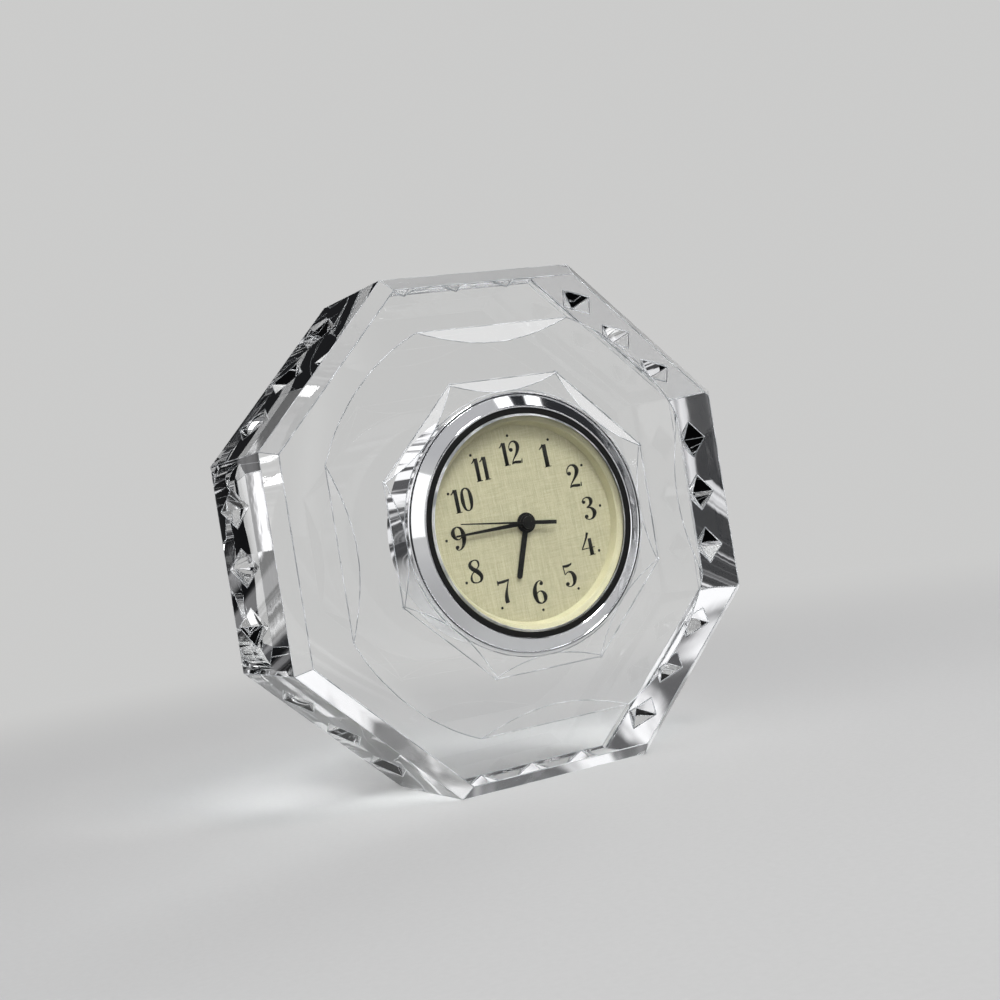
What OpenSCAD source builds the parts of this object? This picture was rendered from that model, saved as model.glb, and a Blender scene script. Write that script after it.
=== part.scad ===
// Crystal desk clock: an eight-sided cut crystal block with a quartz clock insert pushed into its bore.
// Millimetres. +Z is up, the dial faces -Y, and the origin is at the middle of the footprint.
// Heights in the block are counted from its flat front rim, heights in the insert from the seat
// of its bezel. They are positive towards the viewer and negative into the block.

/* [Crystal block] */
// Width of the block across opposite side walls
block_af = 97.4; // [88:0.1:125]
// Depth of the block from the flat front rim to the back
block_depth = 33; // [29:0.5:45]
// Width of the front bevel, across the face
bevel_w = 2.5; // [1:0.1:3.5]
// Depth of the front bevel, along the wall
bevel_d = 3.5; // [1:0.1:5]
// Small arris round the back edge
back_arris = 0.6; // [0.2:0.1:1.2]

/* [Diamond cuts in the side walls] */
// Cuts in each wall
cuts_per_wall = 3; // [1:1:3]
// Length of a cut, front to back
cut_len = 17.5; // [8:0.5:18]
// Width of a cut, along the wall
cut_w = 7.5; // [4:0.5:9]
// Distance between neighbouring cuts
cut_pitch = 11.2; // [10:0.1:12]
// Depth of a cut at its middle
cut_deep = 1.9; // [0.8:0.1:2.5]
// Distance of the cuts' middle behind the front rim
cut_at = 21.7; // [14:0.1:22]

/* [Front facets] */
// Width of the flat rim between the bevel and the outer facets
rim_w = 8.3; // [6:0.1:9.5]
// Width of an outer facet at its middle
outer_facet_w = 3.2; // [2:0.1:4]
// Width of an inner facet at its middle
inner_facet_w = 2.3; // [1.5:0.1:3]
// Gap between the bezel's seat and the inner facets
inner_facet_gap = 0.23; // [0.1:0.01:1]
// Rise of the front from its flat rim to the bezel's seat
boss_rise = 1.1; // [0.6:0.1:2]

/* [Insert case and bore] */
// Outside diameter of the case
case_d = 43.4; // [43:0.1:52.5]
// Wall of the case
case_wall = 0.8; // [0.6:0.1:1]
// Room between the quartz can and the back cover
back_room = 1; // [0.3:0.1:4]
// Radial room between the case and the bore
bore_room = 0.8; // [0.6:0.05:1.2]
// Gap between the setting knob and the bore's end
bore_end_gap = 4.4; // [1:0.1:7]
// Radial gap between the grip ring's lips and the bore
grip_gap = 0.1; // [0.05:0.01:0.2]

/* [Bezel, lens and dial] */
// Width of the bezel's part that lies on the block
bezel_lap = 2.2; // [1.6:0.1:3]
// Height of the bezel's outer rim above its seat
bezel_rim_h = 0.45; // [0.3:0.05:0.8]
// Height of the bezel above its seat
bezel_h = 1.8; // [1.4:0.1:2.2]
// Width of the gasket between bezel and lens
gasket_w = 1.05; // [0.7:0.05:1.3]
// Thickness of the lens
lens_t = 1.7; // [1.2:0.1:2]
// Height of the lens's back above the bezel's seat
lens_back = 0.25; // [0.15:0.05:0.6]
// Width of the flange's face under the lens
flange_face_w = 1.25; // [0.8:0.05:1.4]
// Width of the flange at the dial
flange_w = 1.85; // [1.5:0.05:2.6]
// Radial room round the dial plate
dial_room = 0.3; // [0.1:0.05:0.6]
// Thickness of the dial plate
dial_t = 0.4; // [0.3:0.1:0.5]
// Depth of the dial's face behind the bezel's seat
dial_deep = 1.65; // [1.6:0.05:2]
// Turn of the insert in its bore, as the photo shows it, in degrees
insert_turn = 3; // [-10:0.5:10]

/* [Hands] */
// Length of the hour hand
hour_len = 10.7; // [8:0.1:12]
// Length of the minute hand
minute_len = 15.1; // [13:0.1:17]
// Length of the second hand
second_len = 14.1; // [12:0.1:17]
// Length of the second hand's tail
second_tail = 6; // [4:0.1:7]
// Hour hand at rest, degrees clockwise from twelve
hour_at = 201; // [0:1:359]
// Minute hand at rest, degrees clockwise from twelve
minute_at = 271.5; // [0:0.5:359]
// Second hand at rest, degrees clockwise from twelve
second_at = 280; // [0:1:359]

/* [Gear train] */
// Distance from the centre to the third wheel's axis
third_cd = 6.8; // [6.8:0.05:7]
// Distance from the centre to the fifth wheel's axis
fifth_cd = 7; // [6.9:0.05:7.2]
// Distance from the fifth wheel's axis to the rotor's axis
rotor_cd = 6.48; // [6.4:0.02:6.6]
// Distance from the centre to the minute wheel's axis
motion_cd = 6; // [5.9:0.05:6.2]
// Radial running clearance of arbors in their holes
run_gap = 0.05; // [0.03:0.01:0.08]

/* [Button cell] */
// Diameter of the cell
cell_d = 11.6; // [9.5:0.1:11.6]
// Height of the cell
cell_h = 5.4; // [3.6:0.1:5.4]

/* [Hidden] */
$fn = 96;
fine = 0.01;
walls = 8;
half_turn = 180 / walls;

// Fits shared by several pieces
slip = 0.05;
seat_gap = 0.05;
hand_gap = 0.25;

// Block
block_r = block_af / 2 / cos(half_turn);
bore_r = case_d / 2 + bore_room;
bezel_r = bore_r + bezel_lap;
seat_r = bezel_r + 0.3;
outer_apothem = block_af / 2 - bevel_w - rim_w;
outer_ring_r = outer_apothem / cos(half_turn);
inner_apothem = seat_r + inner_facet_gap + inner_facet_w;
inner_ring_r = inner_apothem / cos(half_turn);
front_slope = boss_rise / (outer_ring_r - seat_r);
facet_meet = 0.01;

// Insert, from the outside in
case_r = case_d / 2;
case_in_r = case_r - case_wall;
ledge_r = case_in_r - 2.5;
ledge_front = -dial_deep - dial_t;
plate_front = ledge_front - 2.3;
plate_t = 0.8;
plate_back = plate_front - plate_t;
case_front = -1.45;
skirt_in_r = case_r + slip;
skirt_out_r = skirt_in_r + 0.5;
skirt_len = 4.65;
open_r = case_r - slip;
seat_h = boss_rise + seat_gap;
lens_front = lens_back + lens_t;
lens_bevel = 0.4;
gasket_out_r = open_r - slip;
gasket_in_r = gasket_out_r - gasket_w;
gasket_top = bezel_h - 0.3;
lens_r = gasket_in_r - slip;
flange_out_r = lens_r - slip;
dial_r = case_in_r - dial_room;

// Places round the case's ledge
foot_ring_r = ledge_r + 1.2;
dial_foot_r = 0.5;
dial_feet_places = [for (a = [30, 210]) polar(foot_ring_r, a)];
plate_screw_places = [for (a = [75, 195, 315]) polar(foot_ring_r, a)];

// Hands, from the dial outwards
hour_hand_h = -dial_deep + 0.35;
hand_t = 0.2;
minute_hand_h = hour_hand_h + hand_t + hand_gap;
second_hand_h = minute_hand_h + hand_t + hand_gap;
cap_top = second_hand_h + 0.4;

// Arbors
second_arbor_r = 0.4;
center_tube_r = 0.9;
hour_pipe_in_r = center_tube_r + 2 * run_gap;
hour_pipe_r = hour_pipe_in_r + 0.35;
arbor_r = 0.4;
pivot_r = 0.25;
pivot_len = 0.5;
knob_arbor_r = 0.8;
motion_post_r = 0.5;

// Levels of the gear train, each wheel one step behind the last
wheel_t = 0.5;
pinion_t = 0.7;
level_step = 1;
center_level = plate_back - 0.4 - wheel_t;
third_level = center_level - level_step;
second_level = third_level - level_step;
fifth_level = second_level - level_step;
bridge_front = fifth_level - 0.7;
bridge_t = 0.8;
bridge_back = bridge_front - bridge_t;
board_t = 0.6;
board_back = bridge_back - board_t;
can_r = 1;
case_deep = -(board_back - 2 * can_r) + back_room;

// Motion work, in front of the main plate
minute_level = plate_front + 0.4;
hour_level = minute_level + 1;

// Teeth
cannon_z = 12;
minute_z = 36;
minute_pinion_z = 10;
hour_z = 40;
third_z = 60;
small_z = 8;
center_z = 64;
second_z = 60;
fifth_pinion_z = 10;
fifth_z = 60;
rotor_z = 12;
knob_z = 12;

// Places of the axes, as direction from the axis before
third_dir = 120;
fifth_dir = 300;
rotor_dir = -20;
minute_dir = 70;
knob_dir = 60;
knob_cd = motion_cd;
third_at = polar(third_cd, third_dir);
fifth_at = polar(fifth_cd, fifth_dir);
rotor_at = fifth_at + polar(rotor_cd, rotor_dir);
minute_at_xy = polar(motion_cd, minute_dir);
knob_at = minute_at_xy + polar(knob_cd, knob_dir);
minute_wheel_turn = mesh_turn(cannon_z, minute_z, minute_dir, 0);

// Pillars of the main plate: the first two also hold the board
pillars = [[-4.5, 13.9], [-14, 2], [1, -14.3], [9.3, 5]];
pillar_r = 1.3;
screw_r = 0.5;
screw_head_r = 1;
screw_head_t = 0.5;
bridge_r = 15.6;

// Step motor
magnet_r = 2.9;
stator_hole_r = 3.3;
stator_ring_r = 4.1;
stator_t = 0.6;
stator_front = plate_back - 1.6;
stator_back = stator_front - stator_t;
core_x = 15.5;
core_y = 9.6;
core_w = 1.6;
core_t = 0.7;
core_back = stator_back - core_t;
coil_r = 1.8;
coil_len = 14;

// Cell and its seat
cell_at = [-9.6, -8.6];
cell_r = cell_d / 2;
clip_t = 0.25;
hatch_plug = 0.8;
cell_back = -case_deep + hatch_plug + 0.1;
cell_front = cell_back + cell_h;
cell_room = cell_r + 1.1;

// Back of the insert and end of the bore
cover_t = 0.8;
hatch_r = cell_r + 0.6;
hatch_rim = 0.7;
knob_r = 3;
knob_t = 1.5;
knob_front = -case_deep - cover_t - 0.3;
bore_deep = -(seat_h + knob_front - knob_t) + bore_end_gap;

// Place of the bounding box: middle of the depth on Y, bottom wall on Z
face_y = -(block_depth - seat_h - max(lens_front, bezel_h)) / 2;
axis_z = block_af / 2;

function polar(r, a) = [r * cos(a), r * sin(a)];

// Angle of a tooth on the second gear that meshes with a gear of z1 teeth turned by turn1,
// when the second gear lies in direction dir
function mesh_turn(z1, z2, dir, turn1) = dir + 180 + 180 / z2 - (turn1 - dir) * z1 / z2;

// Module of a pair of gears from their distance
function pair_module(cd, z1, z2) = 2 * cd / (z1 + z2);

// Outline of a gear: a straight-sided tooth on each pitch
function gear_points(z, m) = [
    for (i = [0 : z - 1], k = [0 : 3])
        let (pitch = 360 / z,
             tip_r = m * z / 2 + 0.75 * m,
             root_r = m * z / 2 - 0.95 * m,
             part = [-0.29, -0.11, 0.11, 0.29][k],
             r = (k == 1 || k == 2) ? tip_r : root_r)
        polar(r, (i + part) * pitch)
];

// Frame of the block's front: X right, Y up, Z towards the viewer, zero on the flat rim
module front_frame() {
    translate([0, face_y, axis_z])
        rotate([90, 0, 0])
            children();
}

// Frame of the insert, turned in the bore, with zero on the bezel's seat
module insert_frame() {
    front_frame()
        translate([0, 0, seat_h])
            rotate([0, 0, insert_turn])
                children();
}

module slab(back, front) {
    translate([0, 0, back])
        linear_extrude(front - back)
            children();
}

module ring(back, front, out_r, in_r) {
    slab(back, front)
        difference() {
            circle(out_r);
            circle(in_r);
        }
}

module rod(back, front, r) {
    slab(back, front) circle(r);
}

module gear(back, front, z, m, turn) {
    slab(back, front)
        rotate(turn)
            polygon(gear_points(z, m));
}

module octagon(r) {
    rotate(half_turn) circle(r, $fn = walls);
}

// Removes what lies beyond a sloping plane on each wall. The plane passes through the point
// r from the axis at height h, and rises inwards by the given angle.
module wall_planes(r, h, angle) {
    big = block_af;
    for (i = [0 : walls - 1])
        rotate(i * 360 / walls)
            translate([r, -big / 2, h])
                rotate([0, angle, 0])
                    translate([-big, 0, 0])
                        cube([2 * big, big, big]);
}

// One diamond cut: two V grooves that cross, each along one pair of the diamond's sides.
// X runs along the wall, Y front to back, Z out of the wall.
module diamond_cut() {
    half_w = cut_w / 2;
    half_l = cut_len / 2;
    lean = atan(half_w / half_l);
    groove = half_w * cos(lean);
    over = 0.4;
    wide = groove * (1 + over / cut_deep);
    intersection_for (side = [-1, 1])
        rotate(-side * lean)
            rotate([90, 0, 0])
                translate([0, 0, -cut_len])
                    linear_extrude(2 * cut_len)
                        polygon([[-wide, over], [0, -cut_deep], [wide, over]]);
}

module wall_cuts() {
    for (i = [0 : walls - 1], k = [0 : cuts_per_wall - 1])
        rotate(i * 360 / walls)
            translate([block_af / 2, (k - (cuts_per_wall - 1) / 2) * cut_pitch, -cut_at])
                rotate([90, 0, 90])
                    diamond_cut();
}

// Shallow cone of the front with its eight outer facets
module front_boss() {
    drop = front_slope * (outer_ring_r - outer_apothem);
    facet_angle = atan(front_slope + drop / outer_facet_w);
    difference() {
        rotate_extrude()
            polygon([
                [0, 0],
                [outer_ring_r + facet_meet / front_slope, 0],
                [seat_r, boss_rise + facet_meet],
                [0, boss_rise + facet_meet]
            ]);
        wall_planes(outer_apothem, 0, facet_angle);
    }
}

// Eight inner facets, each sunk into the cone from a straight edge
module inner_facets() {
    drop = front_slope * (inner_ring_r - inner_apothem);
    facet_angle = atan(front_slope + drop / inner_facet_w);
    corner_h = front_slope * (outer_ring_r - inner_ring_r);
    long = 2.2 * inner_ring_r * sin(half_turn);
    for (i = [0 : walls - 1])
        rotate(i * 360 / walls)
            translate([inner_apothem, -long / 2, corner_h])
                rotate([0, facet_angle, 0])
                    translate([-inner_facet_w * 2, 0, 0])
                        cube([inner_facet_w * 2, long, 2]);
}

// Cut crystal block, made in one piece
module crystal_block() {
    color([0.8, 0.88, 0.9, 0.5])
        front_frame()
            difference() {
                union() {
                    difference() {
                        slab(-block_depth, 0) octagon(block_r);
                        wall_planes(block_af / 2 - bevel_w, 0, 90 - atan(bevel_w / bevel_d));
                        mirror([0, 0, 1])
                            wall_planes(block_af / 2 - back_arris, block_depth, 45);
                    }
                    front_boss();
                }
                inner_facets();
                wall_cuts();
                slab(boss_rise, boss_rise + 1) circle(seat_r + 1);
                rod(-bore_deep, boss_rise + 1, bore_r);
            }
}

// Rubber ring with three lips that grip the bore
module grip_ring() {
    base_r = case_r + 0.4;
    lip_r = bore_r - grip_gap;
    first = -skirt_len - 0.8;
    lip_pitch = 2;
    color("dimgray")
        insert_frame()
            rotate_extrude()
                polygon(concat(
                    [[case_r + slip / 2, first - 3 * lip_pitch], [case_r + slip / 2, first]],
                    [for (i = [0 : 2], k = [0 : 2])
                        [k == 1 ? lip_r : base_r, first - (i + 0.2 + 0.3 * k) * lip_pitch]],
                    [[base_r, first - 3 * lip_pitch]]
                ));
}

// Case: round wall with a ledge that carries the dial in front and the movement behind
module case_cup() {
    color("silver")
        insert_frame() {
            difference() {
                union() {
                    ring(-case_deep, case_front, case_r, case_in_r);
                    ring(plate_front, ledge_front, case_in_r + fine, ledge_r);
                }
                for (p = plate_screw_places)
                    translate(p) rod(plate_front - fine, plate_front + 1.5, screw_r + slip);
                for (p = dial_feet_places)
                    translate(p) rod(ledge_front - 1.2, ledge_front + fine, dial_foot_r + slip);
            }
        }
}

// Chrome bezel: rim on the block, conical face, skirt over the case
module bezel() {
    edge_w = 0.6;
    color("gainsboro")
        insert_frame()
            rotate_extrude()
                polygon([
                    [skirt_in_r, -skirt_len],
                    [skirt_out_r, -skirt_len],
                    [skirt_out_r, 0],
                    [bezel_r, 0],
                    [bezel_r, bezel_rim_h - 0.12],
                    [bezel_r - 0.15, bezel_rim_h],
                    [bezel_r - edge_w + 0.1, bezel_rim_h],
                    [bezel_r - edge_w, bezel_rim_h - 0.12],
                    [open_r + 0.45, bezel_h - 0.08],
                    [open_r + 0.2, bezel_h],
                    [open_r, bezel_h - 0.12],
                    [open_r, case_front],
                    [skirt_in_r, case_front]
                ]);
}

// Clear lens with a bevelled rim
module lens() {
    color([0.9, 0.95, 0.95, 0.35])
        insert_frame()
            rotate_extrude()
                polygon([
                    [0, lens_back],
                    [lens_r, lens_back],
                    [lens_r, lens_front - lens_bevel],
                    [lens_r - lens_bevel, lens_front],
                    [0, lens_front]
                ]);
}

// Black ring that seals the lens in the bezel
module lens_gasket() {
    color([0.08, 0.08, 0.08])
        insert_frame()
            ring(case_front, gasket_top, gasket_out_r, gasket_in_r);
}

// Ring that holds the lens off the dial: sloping face under the lens, steep wall down to the dial
module dial_flange() {
    color("cornsilk")
        insert_frame()
            rotate_extrude()
                polygon([
                    [flange_out_r - flange_w, -dial_deep],
                    [flange_out_r, -dial_deep],
                    [flange_out_r, lens_back],
                    [flange_out_r - 0.25, lens_back],
                    [flange_out_r - flange_face_w, lens_back - 0.35]
                ]);
}

// Dial with its hole for the hour pipe and two feet
module dial_plate() {
    color([0.85, 0.82, 0.68])
        insert_frame() {
            ring(-dial_deep - dial_t, -dial_deep, dial_r, hour_pipe_r + 0.15);
            for (p = dial_feet_places)
                translate(p) rod(ledge_front - 1, ledge_front + fine, dial_foot_r);
        }
}

module hour_hand() {
    width = 1.1;
    color([0.06, 0.06, 0.06])
        insert_frame()
            slab(hour_hand_h, hour_hand_h + hand_t)
                difference() {
                    union() {
                        circle(1.95);
                        rotate(-hour_at) {
                            translate([-width / 2, 0]) square([width, hour_len - width / 2]);
                            translate([0, hour_len - width / 2]) circle(width / 2);
                        }
                    }
                    circle(hour_pipe_r);
                }
}

module minute_hand() {
    root_w = 0.9;
    tip_w = 0.35;
    color([0.06, 0.06, 0.06])
        insert_frame()
            slab(minute_hand_h, minute_hand_h + hand_t)
                difference() {
                    union() {
                        circle(1.5);
                        rotate(-minute_at)
                            polygon([
                                [-root_w / 2, 0],
                                [root_w / 2, 0],
                                [tip_w / 2, minute_len],
                                [-tip_w / 2, minute_len]
                            ]);
                    }
                    circle(center_tube_r);
                }
}

module second_hand() {
    tail_w = 0.75;
    root_w = 0.45;
    tip_w = 0.22;
    color([0.06, 0.06, 0.06])
        insert_frame() {
            difference() {
                rod(second_hand_h, cap_top, 1.2);
                rod(second_hand_h - fine, second_hand_h + hand_t, second_arbor_r);
            }
            slab(second_hand_h, second_hand_h + hand_t)
                rotate(-second_at)
                    difference() {
                        union() {
                            polygon([
                                [-root_w / 2, 0],
                                [root_w / 2, 0],
                                [tip_w / 2, second_len],
                                [-tip_w / 2, second_len]
                            ]);
                            translate([-tail_w / 2, -second_tail]) square([tail_w, second_tail]);
                        }
                        circle(second_arbor_r);
                    }
        }
}

// Hour wheel with the pipe that carries the hour hand
module hour_wheel() {
    m = pair_module(motion_cd, minute_pinion_z, hour_z);
    color("gold")
        insert_frame()
            difference() {
                union() {
                    gear(hour_level, hour_level + wheel_t, hour_z, m,
                        mesh_turn(minute_pinion_z, hour_z, minute_dir + 180, 0));
                    rod(hour_level, hour_hand_h + hand_t, hour_pipe_r);
                }
                rod(hour_level - fine, hour_hand_h + hand_t + fine, hour_pipe_in_r);
            }
}

// Wheel and pinion of the motion work, running on a post of the main plate
module minute_wheel() {
    m = pair_module(motion_cd, cannon_z, minute_z);
    pinion_m = pair_module(motion_cd, minute_pinion_z, hour_z);
    color("gold")
        insert_frame()
            translate(minute_at_xy)
                difference() {
                    union() {
                        gear(minute_level, minute_level + wheel_t, minute_z, m, minute_wheel_turn);
                        gear(minute_level, hour_level + wheel_t, minute_pinion_z, pinion_m, 0);
                    }
                    rod(minute_level - fine, hour_level + 1, motion_post_r + run_gap);
                }
}

// Centre wheel: tube for the minute hand, cannon pinion in front of the plate, wheel behind it
module center_wheel() {
    cannon_m = pair_module(motion_cd, cannon_z, minute_z);
    m = pair_module(third_cd, small_z, center_z);
    color("gold")
        insert_frame()
            difference() {
                union() {
                    rod(center_level, minute_hand_h + hand_t, center_tube_r);
                    gear(minute_level - 0.1, minute_level + wheel_t + 0.1, cannon_z, cannon_m, 0);
                    gear(center_level, center_level + wheel_t, center_z, m,
                        mesh_turn(small_z, center_z, third_dir + 180, 0));
                }
                rod(center_level - fine, minute_hand_h + 1, second_arbor_r + run_gap);
            }
}

// Plain arbor with a thinner pivot at each end
module arbor(back, front) {
    rod(back, front, arbor_r);
    rod(back - pivot_len, front + pivot_len, pivot_r);
}

module third_wheel() {
    m = pair_module(third_cd, small_z, third_z);
    pinion_m = pair_module(third_cd, small_z, center_z);
    color("gold")
        insert_frame()
            translate(third_at) {
                gear(third_level, third_level + wheel_t, third_z, m,
                    mesh_turn(small_z, third_z, third_dir, 0));
                gear(third_level, center_level + pinion_t, small_z, pinion_m, 0);
                arbor(bridge_front + 0.1, plate_back - 0.1);
            }
}

// Second wheel: long arbor for the second hand
module second_wheel() {
    m = pair_module(third_cd, small_z, third_z);
    wheel_m = pair_module(fifth_cd, fifth_pinion_z, second_z);
    color("gold")
        insert_frame() {
            gear(second_level, second_level + wheel_t, second_z, wheel_m, 0);
            gear(second_level, third_level + pinion_t, small_z, m, 0);
            rod(bridge_front + 0.1, second_hand_h + hand_t, second_arbor_r);
            rod(bridge_front + 0.1 - pivot_len, bridge_front + 0.1, pivot_r);
        }
}

module fifth_wheel() {
    m = pair_module(rotor_cd, rotor_z, fifth_z);
    pinion_m = pair_module(fifth_cd, fifth_pinion_z, second_z);
    color("gold")
        insert_frame()
            translate(fifth_at) {
                gear(fifth_level, fifth_level + wheel_t, fifth_z, m, 0);
                gear(fifth_level, second_level + pinion_t, fifth_pinion_z, pinion_m,
                    mesh_turn(second_z, fifth_pinion_z, fifth_dir, 0));
                arbor(bridge_front + 0.1, plate_back - 0.1);
            }
}

// Rotor: disc magnet and pinion on one arbor
module rotor() {
    m = pair_module(rotor_cd, rotor_z, fifth_z);
    color("slategray")
        insert_frame()
            translate(rotor_at) {
                rod(stator_back - 0.5, stator_front + 0.5, magnet_r);
                gear(fifth_level - 0.1, fifth_level + wheel_t + 0.1, rotor_z, m,
                    mesh_turn(fifth_z, rotor_z, rotor_dir, 0));
                arbor(bridge_front + 0.1, plate_back - 0.1);
            }
}

// Stator: ring round the rotor with an arm to each end of the core
module stator() {
    arm_w = 1.9;
    end_w = 2.4;
    inner_x = core_x - coil_r - 0.5 - arm_w;
    color("gray")
        insert_frame()
            slab(stator_back, stator_front)
                difference() {
                    union() {
                        translate(rotor_at) circle(stator_ring_r);
                        translate([rotor_at[0], -core_y - end_w / 2])
                            square([core_x + core_w - rotor_at[0], end_w]);
                        translate([inner_x, rotor_at[1]])
                            square([arm_w, core_y + end_w / 2 - rotor_at[1]]);
                        translate([inner_x, core_y - end_w / 2])
                            square([core_x + core_w - inner_x, end_w]);
                    }
                    translate(rotor_at) circle(stator_hole_r);
                    for (s = [-1, 1])
                        translate([core_x, s * core_y]) circle(screw_r + slip);
                }
}

module coil_core() {
    color("gray")
        insert_frame()
            slab(core_back, stator_back)
                difference() {
                    translate([core_x - core_w / 2, -core_y - 1.1]) square([core_w, 2 * core_y + 2.2]);
                    for (s = [-1, 1])
                        translate([core_x, s * core_y]) circle(screw_r + slip);
                }
}

// Winding on the core
module coil() {
    color("peru")
        insert_frame()
            difference() {
                translate([core_x, coil_len / 2, (core_back + stator_back) / 2])
                    rotate([90, 0, 0])
                        cylinder(h = coil_len, r = coil_r);
                translate([core_x - core_w / 2 - slip, -core_y, core_back - slip])
                    cube([core_w + 2 * slip, 2 * core_y, core_t + 2 * slip]);
            }
}

// Main plate: carries the pillars, the motion post, the stator bosses and the cell's seat
module main_plate() {
    color("lightgray")
        insert_frame()
            difference() {
                union() {
                    rod(plate_back, plate_front, case_in_r - 0.3);
                    for (p = pillars)
                        translate(p) rod(bridge_front, plate_back + fine, pillar_r);
                    for (s = [-1, 1])
                        translate([core_x, s * core_y]) rod(stator_front, plate_back + fine, 1.2);
                    translate(cell_at) rod(cell_front + clip_t, plate_back + fine, cell_r + 0.5);
                    translate(minute_at_xy) rod(plate_front - fine, hour_level + wheel_t, motion_post_r);
                }
                rod(plate_back - fine, plate_front + fine, center_tube_r + run_gap);
                translate(knob_at) rod(plate_back - fine, plate_front + fine, knob_arbor_r + run_gap);
                for (p = [third_at, fifth_at, rotor_at])
                    translate(p) rod(plate_back - fine, plate_back + pivot_len, pivot_r + run_gap);
                for (p = pillars)
                    translate(p) rod(bridge_front - fine, bridge_front + 2.2, screw_r + slip);
                for (s = [-1, 1])
                    translate([core_x, s * core_y])
                        rod(stator_front - fine, stator_front + 1.2, screw_r + slip);
                for (p = plate_screw_places)
                    translate(p) rod(plate_back - fine, plate_front + fine, screw_r + slip);
            }
}

// Bridge: rear plate of the train, cut away round the cell
module train_bridge() {
    color("lightgray")
        insert_frame()
            slab(bridge_back, bridge_front)
                difference() {
                    circle(bridge_r);
                    translate(cell_at) circle(cell_room);
                    for (p = [[0, 0], third_at, fifth_at, rotor_at])
                        translate(p) circle(pivot_r + run_gap);
                    translate(knob_at) circle(knob_arbor_r + 0.2);
                    for (p = pillars)
                        translate(p) circle(screw_r + slip);
                }
}

module circuit_board() {
    board_r = bridge_r - 0.4;
    right_edge = 3;
    color("darkgreen")
        insert_frame()
            slab(board_back, bridge_back)
                difference() {
                    intersection() {
                        circle(board_r);
                        translate([-board_r, -board_r]) square([board_r + right_edge, 2 * board_r]);
                    }
                    translate(cell_at) circle(cell_room);
                    for (p = pillars)
                        translate(p) circle(screw_r + slip);
                    translate(pillars[2]) circle(screw_head_r + 0.3);
                }
}

// Moulded blob over the chip
module control_chip() {
    color([0.1, 0.1, 0.1])
        insert_frame()
            translate([-8.5, 4.2, 0])
                rod(board_back - 0.9, board_back, 1.8);
}

// Quartz crystal in its tubular can
module quartz_can() {
    can_len = 6;
    color("silver")
        insert_frame()
            translate([-12, 7.5, board_back - can_r])
                rotate([0, 90, 0])
                    cylinder(h = can_len, r = can_r);
}

module button_cell() {
    color("lightsteelblue")
        insert_frame()
            translate(cell_at) {
                rod(cell_front - 0.6, cell_front, cell_r - 0.8);
                rod(cell_back, cell_front - 0.6, cell_r);
            }
}

// Spring strip under the cell, with a tail up to the board
module cell_minus_clip() {
    reach = cell_r + 0.55;
    tail_w = 1.6;
    color("goldenrod")
        insert_frame()
            translate(cell_at) {
                slab(cell_front, cell_front + clip_t) {
                    circle(cell_r - 1.5);
                    translate([0, -tail_w / 2]) square([reach + clip_t, tail_w]);
                }
                slab(board_back - clip_t, cell_front + fine)
                    translate([reach, -tail_w / 2]) square([clip_t, tail_w]);
                slab(board_back - clip_t, board_back)
                    translate([reach, -tail_w / 2]) square([2.4, tail_w]);
            }
}

// Strip that touches the side of the cell
module cell_plus_clip() {
    reach = cell_r + slip;
    strip_w = 2.4;
    color("goldenrod")
        insert_frame()
            translate(cell_at) {
                slab(board_back - clip_t, bridge_back + 1.6)
                    translate([-strip_w / 2, reach]) square([strip_w, clip_t]);
                slab(board_back - clip_t, board_back)
                    translate([-strip_w / 2, reach]) square([strip_w, 3.6]);
            }
}

// Rear cover with the way to the cell and the hole for the knob's arbor
module back_cover() {
    lip_out_r = case_in_r - slip;
    lip_w = 0.7;
    color("dimgray")
        insert_frame() {
            slab(-case_deep - cover_t, -case_deep)
                difference() {
                    circle(case_r);
                    translate(cell_at) circle(hatch_r + 0.1);
                    translate(knob_at) circle(knob_arbor_r + 0.2);
                }
            ring(-case_deep - fine, -case_deep + 1, lip_out_r, lip_out_r - lip_w);
        }
}

// Snap-in hatch over the cell, with a notch to prise it out
module battery_hatch() {
    color("dimgray")
        insert_frame()
            translate(cell_at)
                difference() {
                    union() {
                        rod(-case_deep - cover_t, -case_deep + hatch_plug, hatch_r);
                        rod(-case_deep - cover_t - 0.5, -case_deep - cover_t, hatch_r + hatch_rim);
                    }
                    translate([-1.5, hatch_r - 0.4, -case_deep - cover_t - 0.6])
                        cube([3, 2, 0.4]);
                }
}

// Setting knob with its arbor and the pinion that turns the minute wheel
module setting_knob() {
    m = pair_module(motion_cd, cannon_z, minute_z);
    flutes = 18;
    color("dimgray")
        insert_frame()
            translate(knob_at) {
                gear(minute_level - 0.1, minute_level + wheel_t + 0.1, knob_z, m,
                    mesh_turn(minute_z, knob_z, knob_dir, minute_wheel_turn));
                rod(knob_front - fine, minute_level, knob_arbor_r);
                rod(plate_back - 1, plate_back - 0.3, knob_arbor_r + 0.7);
                slab(knob_front - knob_t, knob_front)
                    difference() {
                        circle(knob_r);
                        for (i = [0 : flutes - 1])
                            translate(polar(knob_r, i * 360 / flutes)) circle(0.28, $fn = 24);
                    }
            }
}

// Slotted screw: head behind the given height, shank in front of it
module screw(head_front, shank) {
    slot_w = 0.25;
    difference() {
        union() {
            rod(head_front - screw_head_t, head_front, screw_head_r);
            rod(head_front - fine, head_front + shank, screw_r);
        }
        translate([-screw_head_r - 1, -slot_w / 2, head_front - screw_head_t - fine])
            cube([2 * screw_head_r + 2, slot_w, 0.2]);
    }
}

module plate_screws() {
    color("silver")
        insert_frame()
            for (p = plate_screw_places)
                translate(p) screw(plate_back, plate_t + 1.3);
}

module bridge_screws() {
    color("silver")
        insert_frame()
            for (i = [2, 3])
                translate(pillars[i]) screw(bridge_back, bridge_t + 2);
}

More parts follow.
